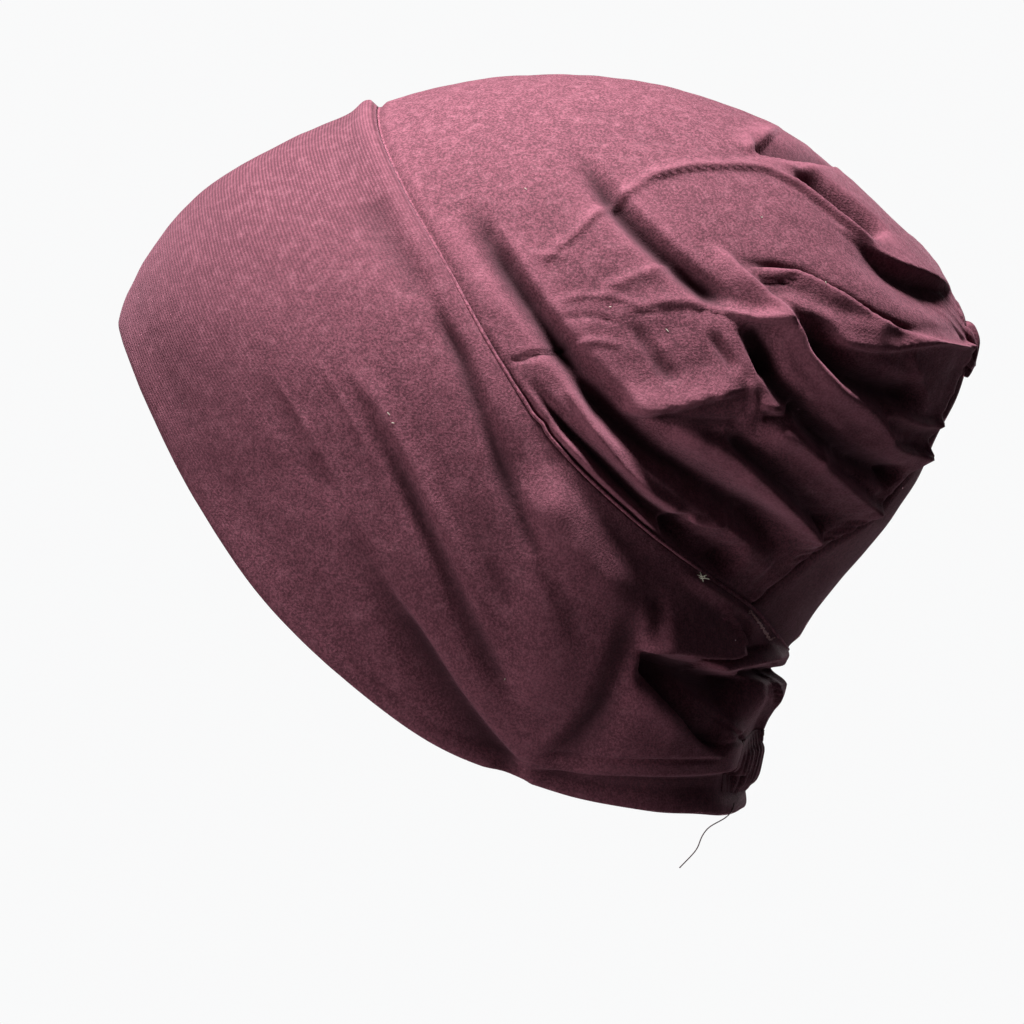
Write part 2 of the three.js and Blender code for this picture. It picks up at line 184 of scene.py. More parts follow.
# A smooth path through directions, which crosses the middle plane squarely where an end lies in it
def pathThrough(spots, last=1.0):
    spots = np.array(spots)
    step = last / (len(spots) - 1)
    places = np.linspace(0, last, len(spots))
    for end, beyond in ((0, 1), (-1, -2)):
        if abs(spots[end, 1]) < 1e-3:
            mirrored = spots[beyond] * (1, -1, 1)
            at = 0 if end == 0 else len(spots)
            spots = np.insert(spots, at, mirrored, axis=0)
            places = np.insert(places, at, -step if end == 0 else last + step)
    return [curveThrough(places, spots[:, k]) for k in range(3)]


# A path of directions down both sides, from -1 at the left foot over 0 at the top to 1 at the right
def bothSides(directionsOf):
    paths = {side: pathThrough(directionsOf(side)) for side in (-1, 1)}

    def at(share):
        share = np.asarray(share, float)
        sides = [columns(*(axis(np.abs(share)) for axis in paths[side])) for side in (-1, 1)]
        return unit(np.where(share[..., None] < 0, *sides))

    return at


# A row of the band: over the top it bends with the form, and down the side it is drawn in the side view
def rowPath(which):
    count = np.arange(len(bandRows))
    steps = np.linspace(0, count[-1], 61)
    along, up = (curveThrough(count, [row[which][k] for row in bandRows])(steps) for k in (0, 1))

    def directionsOf(side):
        rough = np.array([directionAt(*row[which], side) for row in bandRows])
        bent = columns(*(axis(steps) for axis in pathThrough(rough, count[-1])))
        drawn = directionAt(along, up, side)
        return unit(np.where(((steps >= 3) & (steps <= 7))[:, None], drawn, bent))

    return bothSides(directionsOf)


hemPath, seamPath = rowPath(0), rowPath(1)
stripPath = bothSides(
    lambda side: [directionBeside(*row, side) for row in stripRows] + [seamPath(side * stripFoot)])
gatherAt = curveThrough(np.linspace(0, stripFoot, len(gatherRows)), gatherRows)


def gap(a, b):
    return np.linalg.norm(formPoint(a) - formPoint(b), axis=-1)


folding = {
    "plain": (0, 0, (1, 1)),  # pinch, lean and ends of a row that doesn't give them
    "crest": 2.2,  # power that narrows a pinched crest
    "blend": 9 * mm,  # beside the middle, where the two sides flow into each other
    "far": {"high": 0.86, "highWander": 0.12, "lean": 0.4, "pinch": 0.5},  # softer folds on the far side
}


# Folds: a path in millimetres of the side view from left to right, how high it stands, how far it
# reaches above and below its line, how pinched its crest is, how far the crest leans down over what
# is below it, and how slowly each end dies away, in fifths of its length (0 runs on into an edge)
def foldLift(rows, base, normal, side, jitter=0):
    lift, shift = np.zeros(len(base)), np.zeros(base.shape)
    dice, soften = random.Random(7 if side > 0 else 3), folding["far"]
    for path, high, above, below, *rest in rows:
        pinch, lean, (start, stop) = (*rest, *folding["plain"][len(rest):])
        spots = np.array(path, float)
        stray = [dice.uniform(-jitter, jitter) for _ in range(4)]
        spots = spots + stray[:2]
        if jitter:
            high *= soften["high"] + soften["highWander"] * stray[2]
            lean, pinch = soften["lean"] * lean, soften["pinch"] * pinch
        steps = np.linspace(0, len(spots) - 1, 5 * (len(spots) - 1) + 1)
        x, z = (curveThrough(np.arange(len(spots)), spots[:, k])(steps) for k in range(2))
        line = formPoint(directionOfSide(x, z, side))
        widest = max(above, below) * mm
        near = np.all((base > line.min(axis=0) - widest) & (base < line.max(axis=0) + widest), axis=1)
        index = np.nonzero(near)[0]
        if not len(index):
            continue
        a, along = line[:-1], np.diff(line, axis=0)
        away = base[index, None] - a
        t = np.clip(np.sum(away * along, axis=2) / np.maximum(np.sum(along ** 2, axis=1), 1e-12), 0, 1)
        away = away - t[..., None] * along
        distance = np.linalg.norm(away, axis=2)
        best = distance.argmin(axis=1)
        pick = np.arange(len(index))
        distance, away, t = distance[pick, best], away[pick, best], t[pick, best]
        upward = unit(np.cross(along[best], normal[index])) * side
        isAbove = np.sum(upward * away, axis=1) > 0
        far = distance / (np.where(isAbove, above, below) * mm)
        shape = (1 - pinch) * (1 - smooth(far)) + pinch * np.clip(1 - far, 0, 1) ** folding["crest"]
        share = (best + t) / len(along)
        fade = smooth(share * 5 / start + 0.05) if start else 1
        fade = fade * (smooth((1 - share) * 5 / stop + 0.05) if stop else 1)
        lift[index] += high * mm * shape * fade
        shift[index] -= (lean * mm * shape * fade)[:, None] * upward
    return lift, shift


# The two sides differ a little and flow into each other over the middle
def foldBoth(rows, base, normal, jitter=0, leftOnly=(), rightOnly=()):
    lift, shift = np.zeros(len(base)), np.zeros(base.shape)
    for side in (-1, 1):
        part = smooth(0.5 + side * base[:, 1] / (2 * folding["blend"]))
        mine = part > 0
        mirror = np.ones((mine.sum(), 3))
        mirror[:, 1] = np.where(base[mine, 1] * side < 0, -1, 1)
        own = rows + list(rightOnly if side > 0 else leftOnly)
        stray = jitter if side > 0 else 0
        high, aside = foldLift(own, base[mine] * mirror, normal[mine] * mirror, side, stray)
        lift[mine] += part[mine] * high
        shift[mine] += part[mine, None] * aside * mirror
    return lift, shift


# Soft noise from -1 to 1 at points, at a size in metres, and below it in layers and along a line
def softNoise(points, size, seed=0.0):
    return np.array([noise.noise(Vector(p) / size + Vector((seed, seed, seed))) for p in points])


def layeredNoise(points, layers):
    return sum(high * softNoise(points, size, seed) for high, size, seed in layers)


def noiseAlong(values, size, seed):
    flat = np.zeros_like(values)
    return softNoise(columns(values, flat, flat), size, seed)


# The mean of a table over a window, with its edges drawn out
def meanAround(table, down, across):
    for axis, reach in ((0, down), (1, across)):
        pad = [(reach + 1, reach) if k == axis else (0, 0) for k in (0, 1)]
        total = np.cumsum(np.pad(table, pad, mode="edge"), axis=axis)
        upper, lower = (np.take(total, span, axis=axis) for span in (
            range(2 * reach + 1, total.shape[axis]), range(0, total.shape[axis] - 2 * reach - 1)))
        table = (upper - lower) / (2 * reach + 1)
    return table


# A sheet of cloth: a grid whose corners are placed by a function of (u, v), with the cloth's own
# lengths as its UV map, and as attributes its rise over the cloth around it and how its ribs show
def clothGrid(name, across, down, spotAt, weld=False, around=(14, 8)):
    bm = bmesh.new()
    bmesh.ops.create_grid(bm, x_segments=across, y_segments=down, size=0.5)
    mesh = bpy.data.meshes.new(name)
    bm.to_mesh(mesh)
    flat = np.empty(len(mesh.vertices) * 3)
    mesh.vertices.foreach_get("co", flat)
    u, v = (flat.reshape(-1, 3)[:, :2] + 0.5).T
    points, cloth, lift, ribbed = spotAt(np.clip(u, 0, 1), np.clip(v, 0, 1))
    row, column = np.rint(v * down).astype(int), np.rint(u * across).astype(int)
    table = np.zeros((down + 1, across + 1))
    table[row, column] = lift
    near, far = meanAround(table, around[0] // 2, around[1] // 2), meanAround(table, *around)
    # rise over the surrounding cloth, which the jersey finishes turn into painted shade in hollows and a
    # painted highlight on crests
    rise = (table - 0.4 * near - 0.6 * far)[row, column]
    mesh.vertices.foreach_set("co", points.ravel())
    corner = np.empty(len(mesh.loops), dtype=np.int32)
    mesh.loops.foreach_get("vertex_index", corner)
    mesh.uv_layers.new(name="knit").data.foreach_set("uv", cloth[corner].ravel())
    mesh.attributes.new("rise", "FLOAT", "POINT").data.foreach_set("value", rise)
    mesh.attributes.new("ribbed", "FLOAT", "POINT").data.foreach_set("value", ribbed)
    bm.clear()
    bm.from_mesh(mesh)
    if weld:
        edge = [v for v in bm.verts if v.is_boundary]
        bmesh.ops.remove_doubles(bm, verts=edge, dist=1e-6)
    for face in bm.faces:
        face.smooth = True
    bm.to_mesh(mesh)
    bm.free()
    return putInScene(name, mesh)


def thicken(piece, wall):
    solid = piece.modifiers.new("wall", "SOLIDIFY")
    solid.thickness, solid.offset, solid.use_even_offset = wall, -1, False
    return piece


# Seam: the raised edge between band and crown, a little uneven
seam = {
    "around": 460, "section": 10, "wide": 0.42 * mm, "high": 0.42 * mm, "uneven": 0.16, "clothWidth": 0.004,
    "proud": 0.15 * mm, "sunk": 1.2 * mm, "footSunk": 0.5 * mm,
    "depth": 0.95 * mm,  # how far under the form the cloth of both sides is sewn
}

# Band: two layers of jersey, folded round the face hem
band = {
    "across": 300, "innerRows": 26, "hemRows": 8, "outerRows": 112,
    "wall": 1.9 * mm, "clothLength": 0.52, "clothWidth": 0.1,
    "hemRoll": 1.1 * mm, "hemRollWidth": 4 * mm, "hemGroove": 0.5 * mm, "hemGrooveWidth": 1.2 * mm,
    "seamEdge": 1.9 * mm, "seamEdgeAt": 2.8 * mm, "seamEdgeWidth": 3.4 * mm,  # the band's edge rolls over
    "calm": 8 * mm, "footCalm": 3.5 * mm,  # from the seam, where folds die away, and the same near its foot
    "hemCalm": 7 * mm, "sewn": 1.6 * mm, "tuck": 0.5 * mm,
    "stray": 2,  # millimetres that the far side's folds may be off
    "waves": [(0.35 * mm, 16 * mm, 3), (0.12 * mm, 5 * mm, 9)],  # height, size and seed
}
bandFolds = [  # path, high, above, below, pinch, lean, ends
    # grooves from the seam down to the lobe
    ([(-44, -30), (-41, -40), (-35, -49), (-29, -58)], -1.3, 7, 8),
    ([(-31, -54), (-25.5, -64), (-21.5, -72), (-18, -82), (-14, -92), (-11, -100), (-8, -107), (-4.5, -115),
      (-1.5, -122)], -2.9, 3.6, 4.6, 0.4),
    ([(-3, -120), (1, -126), (5, -134), (8, -141)], -0.9, 4, 5, 0.1),
    ([(-17, -68), (-12, -80), (-6, -92), (0, -104), (5, -114)], 0.9, 5, 5),
    ([(-46, -80), (-42, -88), (-38, -95), (-34.5, -102), (-31, -110), (-27, -118), (-23, -127), (-20, -134),
      (-16.5, -141), (-13, -147), (-9.5, -153), (-5, -159)], -2.5, 3.4, 5, 0.35, 0, (1.6, 1)),
    ([(-50, -72), (-42, -82), (-34, -98), (-26, -113), (-18, -129), (-11, -142)], 1.0, 5, 3.5, 0.1),
    ([(-50, -108), (-45, -118), (-40, -127), (-36.5, -132.5), (-33, -137.5), (-29.5, -143), (-25, -150),
      (-20, -157), (-15, -163.5), (-9, -170.5)], -5.2, 2.6, 12, 0.35, 0, (3, 0)),
    ([(-76, -74), (-65, -86), (-57, -99), (-49, -112)], -0.35, 7, 7, 0, 0, (2, 2)),
    ([(-70, -72), (-63, -82), (-56, -94), (-50, -106)], 0.5, 2, 2, 0.1, 0, (2, 2)),
    ([(-60, -66), (-52, -79), (-45, -92), (-39, -104)], 0.4, 1.8, 1.8, 0.1, 0, (2, 2)),
    ([(-14, -121), (-11.5, -126), (-9, -133)], -0.7, 3, 3, 0.2),
    ([(0.5, -94), (-0.5, -100), (-1.5, -106)], -0.4, 2, 2, 0.4),
    ([(-9, -97), (1, -111), (11, -123), (21, -132)], 3.0, 12, 10, 0, 0, (1.5, 1.5)),
    # the lobe over the ear, and the smooth darker panel behind it
    ([(-4, -98), (-3, -120), (-2, -140), (-3, -160)], 2.6, 16, 14, 0, 0, (3, 1)),
    ([(-6, -171.5), (0, -169.5), (6, -164), (11, -157.5), (15, -149.5), (18, -141), (19.5, -131)],
     -3.2, 5, 12, 0, 0, (2, 1)),
    ([(21, -150), (27, -157), (33, -164)], 1.3, 5, 6, 0.1),
    # folds over the nape hem
    ([(-16, -169.5), (-6, -172.6), (8, -174), (22, -174.6), (36, -174.8), (48, -174)],
     -3.2, 2.2, 10, 0.2, 0, (0.6, 0)),
    ([(-4, -168), (12, -168.9), (28, -169.3), (44, -169.4)], -1.2, 1.0, 1.4, 0.4),
    # the rounded fold along the seam's end
    ([(30, -121), (37, -126.5), (43, -130.8), (48, -134.6), (52.5, -138.4)], 2.0, 3, 4, 0.1, 0, (1.6, 1.6)),
    # the flap under the seam, the deep pocket below it and the bulges at the back
    ([(25, -126), (26, -133), (25, -141)], -1.4, 4, 4, 0, 0, (2, 1)),
    ([(21, -141.5), (28, -141.3), (37, -142.5), (44, -142.5), (47, -141.2)],
     3.0, 12, 1.4, 0.2, 1.6, (0.8, 0.6)),
    ([(41.5, -131), (44.5, -135.5), (46.5, -140.5)], 1.3, 1.2, 1.6, 0.4, 0, (1, 0.5)),
    ([(44, -132.5), (47.5, -136.5), (48.5, -140.5)], -1.9, 1.3, 1.6, 0.4),
    ([(36, -144.6), (42, -144.2), (47, -142.6), (54, -141)], -2.2, 1.2, 1.2, 0.4),
    ([(22.5, -143), (30, -144.6), (37, -146.2), (44, -149.6), (54, -151.5)], -10, 1.6, 14, 0.15, 0, (0.7, 1)),
    ([(24, -146), (28, -152), (33, -158), (38, -164), (44, -168)], -6, 9, 1.8, 0.25, 0, (0.8, 1)),
    ([(38, -146.2), (44, -145.6), (52, -144), (62, -142.8)], 3.2, 4, 2.8, 0.1, 0.8, (1, 0)),
    ([(46, -148.4), (53, -148.7), (62, -149)], -5.2, 2.4, 2.6, 0.1, 0, (1, 0)),
    ([(46, -154.5), (53, -154.5), (62, -154.5)], 1.6, 6, 8, 0, 0, (1, 0)),
    ([(38, -153), (43, -158), (47, -163)], 0.9, 1.6, 1.6, 0.4),
    ([(42, -158), (46, -162.5), (50, -166)], -1.2, 1.3, 1.3, 0.4),
    ([(38, -164.8), (42, -166), (47, -165), (51, -162.5)], -1.0, 1.2, 1.4, 0.4),
    # the elastic pulls the nape in
    ([(57, -156), (53, -166), (48, -184)], -3.2, 26, 26, 0, 0, (1.6, 0)),
]


def bandSpot(u, v):
    share = 1 - 2 * u
    hem, edge = hemPath(share), seamPath(share)
    total = band["innerRows"] + band["hemRows"] + band["outerRows"]
    inner, outer = band["innerRows"] / total, (band["innerRows"] + band["hemRows"]) / total
    run = np.where(v < inner, 1 - v / inner, np.clip((v - outer) / (1 - outer), 0, 1))
    d = between(hem, edge, run)
    base, normal = formPoint(d), formNormal(d)
    length = gap(hem, edge)
    toHem, toSeam = run * length, (1 - run) * length
    lift, shift = foldBoth(bandFolds, base, normal, band["stray"])
    foot = smooth((np.abs(share) - 0.6) / 0.12) * (1 - smooth((np.abs(share) - 0.86) / 0.08))
    calm = smooth(toSeam / (band["calm"] + (band["footCalm"] - band["calm"]) * foot))
    lift, shift = lift * calm, shift * calm[:, None]
    lift += layeredNoise(base, band["waves"])
    lift *= 0.4 + 0.6 * smooth(toHem / band["hemCalm"])
    backward = smooth((np.abs(share) - 0.35) / 0.3)  # in front the hem swells softly, and has no groove
    rollWidth = band["hemRollWidth"] * (1 + 2 * (1 - backward))
    lift += band["hemRoll"] * (1 - smooth(toHem / rollWidth))
    toGroove = (toHem - 1.2 * band["hemRollWidth"]) / band["hemGrooveWidth"]
    lift -= band["hemGroove"] * backward * np.exp(-toGroove ** 2)
    top = 1 - smooth(np.abs(share) / 0.5)
    roll = np.exp(-((toSeam - band["seamEdgeAt"]) / band["seamEdgeWidth"]) ** 2)
    lift += band["seamEdge"] * (0.06 + 0.94 * top) * roll * smooth(toSeam / (2 * mm) + 0.15)
    lift *= smooth(toSeam / band["sewn"])
    half = band["wall"] / 2
    turn = np.where(v < inner, math.pi, math.pi * (1 - np.clip((v - inner) / (outer - inner), 0, 1)))
    ahead = unit(formPoint(between(hem, edge, np.full_like(u, 0.02))) - formPoint(hem))
    tuck = smooth(1 - toSeam / band["tuck"])  # both layers meet under the seam
    depth = np.where(v > outer, -half * tuck, half * (np.cos(turn) - 1))
    depth = np.where(v < inner, half * tuck - 2 * half, depth)
    points = base + normal * (lift + depth)[:, None] + shift
    points -= ahead * np.where((v >= inner) & (v <= outer), half * np.sin(turn), 0)[:, None]
    layer = np.where(v < inner, -1, 1)
    cloth = columns(share * band["clothLength"] / 2, layer * run * band["clothWidth"])
    ribbed = 0.12 + 0.88 * (1 - smooth((np.abs(share) - 0.1) / 0.28))
    return points, cloth, lift, ribbed


def makeBand():
    rows = band["innerRows"] + band["hemRows"] + band["outerRows"]
    return clothGrid("bandCloth", band["across"], rows, bandSpot, weld=True)


bandCloth = makeBand()
print("band: two layers round the face hem")

# Crown: one layer, gathered along the back strip
crown = {
    "across": 430, "down": 216, "clothLength": 0.43, "clothWidth": 0.115,
    "gathers": 21, "gatherHigh": 0.5 * mm, "gatherReach": 15 * mm, "gatherWander": 3.4,
    "puff": 1.2 * mm, "puffReach": 6 * mm, "puffFade": 14 * mm,
    "tuck": 1.7 * mm, "under": 1.2 * mm, "stripSewn": 3.2 * mm, "seamSewn": 2.5 * mm,
    "calm": 3.5 * mm, "middleCalm": 18 * mm, "crumpleFrom": 12 * mm, "stray": 2.5,
    "crumples": [(0.55 * mm, 12 * mm, 1), (0.3 * mm, 4.5 * mm, 2)],  # height, size and seed
    "creases": [(0.5 * mm, 7 * mm, 14), (0.22 * mm, 2.6 * mm, 17)],  # drawn out from seam to strip
}
crownFolds = [  # path, high, above, below, pinch, lean, ends
    # the long dark valley, shallow at the top and deep over the strip's foot
    ([(-20, -32), (-15, -42), (-9, -52), (0, -65), (8, -76)], -5.2, 4.6, 5.6, 0.1, 0, (2.4, 1)),
    ([(-3, -64), (6, -75), (12, -82.5), (18.5, -89), (26, -95), (34, -101), (41, -105.5), (47, -109.5),
      (53, -114), (59, -120)], -7.6, 7.5, 5, 0.1, 0, (1.2, 1)),
    # the channel beside the seam with its lit bulge, and the ridge between channel and valley
    ([(-6, -75), (-2, -82), (3, -88), (8, -93), (13, -98), (18, -103), (23, -107.5), (29, -111.5),
      (35, -117)], -4.6, 3.4, 3, 0.2, 0, (1.6, 1)),
    ([(-9, -76), (-3, -82.5), (1, -88), (6, -93.5), (11, -99), (16, -103.5), (20, -107), (23, -111),
      (27, -113)], 1.9, 2, 2.4, 0.2),
    ([(0, -70), (5, -79), (9.5, -87), (14, -93), (19, -98.5), (25, -104), (31, -107.5), (38, -110)],
     2.4, 2.8, 2.8, 0.35, 0.3, (1.2, 1)),
    ([(33, -109.6), (38, -110.8), (45, -110.6)], 2.6, 1.6, 1.8, 0.4, 0.8, (1, 0.8)),
    ([(27, -111), (32, -115), (38, -119), (46, -123)], -5.6, 8, 4, 0.1),
    ([(42, -114), (49, -119), (53, -124)], 0.8, 6, 6),
    # folds that end on the strip's seam, from low to high
    ([(27, -87.5), (34, -90), (40, -92.5), (46, -96), (51, -100), (56, -104.5), (61, -109), (65, -114)],
     3.4, 3, 6, 0.25, 0.3, (1, 0)),
    ([(42, -89), (46, -93.5), (51, -98), (56, -102.5), (61, -107), (66, -111.5)],
     -3.8, 6.5, 1.8, 0.3, 0, (1, 0)),
    ([(50, -87.5), (56, -89), (61, -91.5), (66, -96), (71, -100.5), (76, -104.5), (81, -108)],
     3.4, 2.6, 7, 0.3, 0.2, (1, 0)),
    ([(50, -62), (52, -70), (55, -77), (60, -83), (65, -88.5), (70, -93), (76, -97), (84, -100)],
     -6.2, 5.5, 4, 0.2, 0, (1, 0)),
    ([(66, -95.5), (71, -98), (76, -101), (80, -104)], -2.0, 1.2, 1.5, 0.4),
    ([(64, -95), (69, -93.8), (73, -96)], 1.2, 1.2, 1.6, 0.4),
    # rounded ridge down the middle of the bag
    ([(36, -44.5), (41, -45.5), (46, -51), (52, -56.5), (57, -61.5), (62, -67), (66, -71.5), (70, -76.5),
      (75, -80.5), (79, -84), (82, -88.5), (87, -92), (93, -93)], 3.8, 2.6, 8, 0.35, 0.4, (1, 0)),
    ([(60, -62), (66, -69.5), (72, -75), (79, -78.5), (86, -80.5), (93, -81)], -6.5, 7, 4, 0.1),
    ([(80, -84.5), (84, -83), (88, -85), (93, -86), (98, -85)], 2.4, 1.8, 4, 0.4, 0.3, (1, 0)),
    ([(82, -89), (86, -91), (92, -92)], -2.4, 1.5, 1.2, 0.3, 0, (1, 0)),
    ([(87.5, -69), (89.5, -73), (91.5, -77.5), (93.5, -81)], 1.5, 3, 3, 0.5),
    # the broad pale fold that ends in the knot
    ([(45, -48.6), (52, -48.8), (60, -50), (66, -52.8), (72, -56), (78, -59.8), (85, -63.2), (92, -65.3)],
     -1.5, 2.4, 1, 0.3),
    ([(45, -50), (52, -50), (60, -51.3), (66, -54), (72, -57.2), (78, -61), (85, -64.2), (92, -66), (98, -67),
      (105, -67.5)], 2.8, 1.6, 7, 0.4, -0.3, (1, 0)),
    ([(62, -64), (70, -66.6), (76, -68), (82, -68.2), (88, -67.3), (95, -66.3), (101, -66.8)],
     2.2, 3.5, 1.6, 0.4, 1.0, (1, 0)),
    ([(50, -52.6), (55, -53.3), (60, -51.8)], -0.8, 1.0, 1.0, 0.4),
    ([(52, -56), (60, -59), (68, -62.5), (76, -65), (84, -66)], 2.2, 5, 4.5),
    # crisp edge of the pale patch, with a dark shelf under it
    ([(16, -83), (22, -84.3), (28, -83.3), (34, -81.8), (40, -80.2), (48.5, -78.6)], 3.4, 9, 1.8, 0.4, 0.8),
    ([(23, -85.5), (32, -86.5), (41, -87), (48, -86.6)], -2.0, 2.8, 1.2, 0.4),
    ([(48, -76), (49, -81), (49.5, -85)], 0.8, 2.4, 2.4, 0.2),
    ([(50, -82), (55, -83), (61.5, -83.2)], 1.9, 2.6, 1.3, 0.4, 0.6),
    ([(51, -85.4), (56, -85.8), (62, -84.3)], -2.4, 1.2, 1.2, 0.3),
    ([(47, -63), (50, -69), (53, -76)], -4.0, 5.5, 3.5, 0.1),
    # second valley, from the top to the middle
    ([(5, -18), (10, -26), (16, -33.5), (23, -41), (31, -48.5), (38, -54.5), (44, -60)],
     -4.8, 4.5, 5.5, 0.15, 0, (2, 1)),
    # fine creases between the two valleys
    ([(-11, -72.5), (-6, -71), (-1, -69.8), (4, -67.6), (9, -66)], -1.5, 0.9, 1.2, 0.5, 0, (1, 2)),
    ([(-4, -49.5), (4, -42.5), (11, -36), (17.5, -31), (26, -27)], 1.1, 3, 1.8, 0.5, 0.2),
    ([(1, -57.5), (8, -56), (16, -56.5), (22, -58.5)], 0.8, 1.4, 2, 0.5),
    ([(2, -62), (9, -61.2), (17, -62.6)], -0.6, 1, 1.4, 0.5),
    ([(4, -68), (11, -67), (18, -68.5)], 0.6, 1.2, 1.8, 0.5),
    ([(-6, -45), (0, -46.5), (6, -45.5)], 0.5, 1.2, 1.8, 0.5),
    ([(11, -54.5), (20, -51), (31, -46.5)], 1.3, 1.4, 5, 0.6),
    ([(12, -63), (22, -59), (32, -57.8), (40, -59.3), (48, -61.6), (54, -62.2), (59, -61.5)],
     1.2, 4, 1.0, 0.6, 0.2, (1.5, 1)),
    ([(43, -60), (49, -61.6), (54, -62.2), (59, -61.5)], 1.8, 3, 1.8, 0.4, 0.6, (1.5, 1)),
    ([(19, -62), (23, -68), (27, -74), (31, -78)], -1.5, 3.4, 3, 0, 0, (1.5, 1.5)),
    ([(38, -64), (42, -70), (45, -75)], -1.3, 2.6, 2.6, 0, 0, (1.5, 1.5)),
    # thin ridge that runs from the middle of the top to the knot
    ([(16, -30), (26, -26.3), (34, -24.4), (42, -24), (50, -24), (56, -26), (61, -28.5)],
     1.6, 5, 1.5, 0.5, 0.2),
    # faint folds over the top
    ([(6, -8), (18, -12), (30, -22)], -0.5, 6, 6, 0.1),
    ([(25, -13), (31, -19)], -0.6, 1.6, 2.4, 0.3),
    ([(-26, -36), (-18, -52), (-12, -62)], 0.5, 4, 4),
]
crownFoldsLeft = [
    # the top crease, whose front edge steps down to the darker triangle
    ([(47.5, -20.4), (52.5, -16.6), (58, -12.4)], 1.6, 9, 1.0, 0.3, 0, (0.6, 1.5)),
    ([(50, -19.6), (58, -20.6), (66, -21.2), (75, -22)], -3.8, 9, 1.6, 0.1, 0, (0.6, 1.5)),
    ([(49, -22), (60, -23.4), (73, -23.2)], 1.2, 1.3, 4, 0.5, 0, (1, 2.5)),
    # the two dark valleys beside the thin ridge
    ([(59, -25), (66, -28.4), (72, -32.4), (78.5, -37.6), (82, -41)], -8.0, 8, 4, 0, 0, (1.6, 1)),
    ([(68, -38.5), (75, -42), (81, -45.6), (88, -48.8), (95, -51), (103.5, -55)],
     -5.4, 2.4, 15, 0, 0, (3.4, 1.4)),
    ([(55, -25.5), (61, -28.7), (66, -32.3), (71, -36.3), (76, -40.2), (82, -43.8)],
     2.2, 2.4, 1.8, 0.5, 0.2, (1, 1.4)),
]
crownFoldsRight = [  # the side that the photo can't show: longer folds that run to the knot
    ([(38, -30), (54, -36), (70, -43), (84, -51), (99, -61)], 2.2, 2.4, 5, 0.4, 0.2, (2, 1)),
    ([(45, -36), (58, -42), (72, -50), (86, -58), (98, -63)], -3.0, 4, 4, 0.1, 0, (2, 1)),
    ([(58, -22), (70, -31), (82, -42), (93, -53), (101, -60)], -2.2, 4, 5, 0.1, 0, (2, 1)),
    ([(68, -21), (79, -30), (90, -41), (99, -53)], 1.4, 3, 3, 0.2, 0, (2, 1)),
]


def crownSpot(u, v):
    share = (1 - 2 * u) * stripFoot
    front, back = seamPath(share), stripPath(np.sign(share) * gatherAt(np.abs(share)))
    length = gap(front, back)
    d = between(front, back, v * (1 + crown["under"] / length))  # it runs on a little under the strip
    base, normal = formPoint(d), formNormal(d)
    toSeam, toStrip = v * length, (1 - v) * length
    lift, shift = foldBoth(crownFolds, base, normal, crown["stray"], crownFoldsLeft, crownFoldsRight)
    middle = smooth(np.abs(base[:, 1]) / crown["middleCalm"] + 0.5)  # the bag is calmer along its middle
    lift, shift = lift * middle, shift * middle[:, None]
    # fine gathers along the strip, of uneven depth and length
    edge = gatherAt(np.abs(share)) * np.sign(share)
    depth = 0.6 + 0.4 * noiseAlong(edge, 0.11, 21)
    reach = crown["gatherReach"] * (0.9 + 0.6 * noiseAlong(edge, 0.05, 31))
    ripple = np.cos(2 * math.pi * crown["gathers"] * edge + crown["gatherWander"] * noiseAlong(edge, 0.07, 5))
    lift += crown["gatherHigh"] * depth * ripple * (1 - smooth(toStrip / reach))
    calm = smooth(toSeam / crown["calm"])
    lift, shift = lift * calm, shift * calm[:, None]
    crumple = smooth(toSeam / crown["crumpleFrom"]) * (0.4 + 0.6 * smooth(share ** 2 * 3))
    along, down = share * crown["clothLength"] / 2, v * crown["clothWidth"]
    drawn = columns(along, down * 0.3, np.sign(share) * 0.1)
    lift += crumple * (layeredNoise(base, crown["crumples"]) + layeredNoise(drawn, crown["creases"]))
    # puffed ends, tucked into the seam of the strip and under the band's edge
    rounded = smooth(toStrip / crown["puffReach"])
    puff = crown["puff"] * rounded * (1 - smooth(toStrip / crown["puffFade"]))
    lift = lift * (0.35 + 0.65 * rounded) + puff
    sewn = smooth(toStrip / crown["stripSewn"])
    lift = lift * sewn - crown["tuck"] * (1 - sewn)
    sewn = smooth(toSeam / crown["seamSewn"])
    lift = lift * sewn - seam["depth"] * (1 - sewn)
    points = base + normal * lift[:, None] + shift * (rounded * sewn)[:, None]
    cloth = columns(along / stripFoot, down)
    return points, cloth, lift, 0.15 + 0.6 * smooth((v - 0.5) * 3) * (1 - smooth(np.abs(share) / 0.45))


def makeCrown():
    return clothGrid("crownCloth", crown["across"], crown["down"], crownSpot)


crownCloth = makeCrown()
print("crown: gathered bag with", len(crownFolds), "folds a side")


def seamSpot(u, v):
    share = 1 - 2 * u
    d = seamPath(share)
    base, normal = formPoint(d), formNormal(d)
    along = unit(formPoint(seamPath(share + 0.004)) - formPoint(seamPath(share - 0.004)))
    aside = np.cross(normal, along)
    turn = 2 * math.pi * v
    uneven = 1 + seam["uneven"] * noiseAlong(share * 3, 0.05, 4)
    proud = seam["proud"] - seam["sunk"] * (1 - smooth((np.abs(share) - 0.2) / 0.3))
    proud -= seam["footSunk"] * smooth((np.abs(share) - 0.87) / 0.1)
    points = base + normal * (proud + seam["high"] * uneven * np.sin(turn))[:, None]
    points += aside * (seam["wide"] * uneven * np.cos(turn))[:, None]
    cloth = columns(share * band["clothLength"] / 2, v * seam["clothWidth"])
    return points, cloth, np.full_like(share, mm), np.full_like(share, 0.2)


def makeSeam():
    return clothGrid("seamRoll", seam["around"], seam["section"], seamSpot, weld=True)


seamRoll = makeSeam()
print("seam: raised edge")

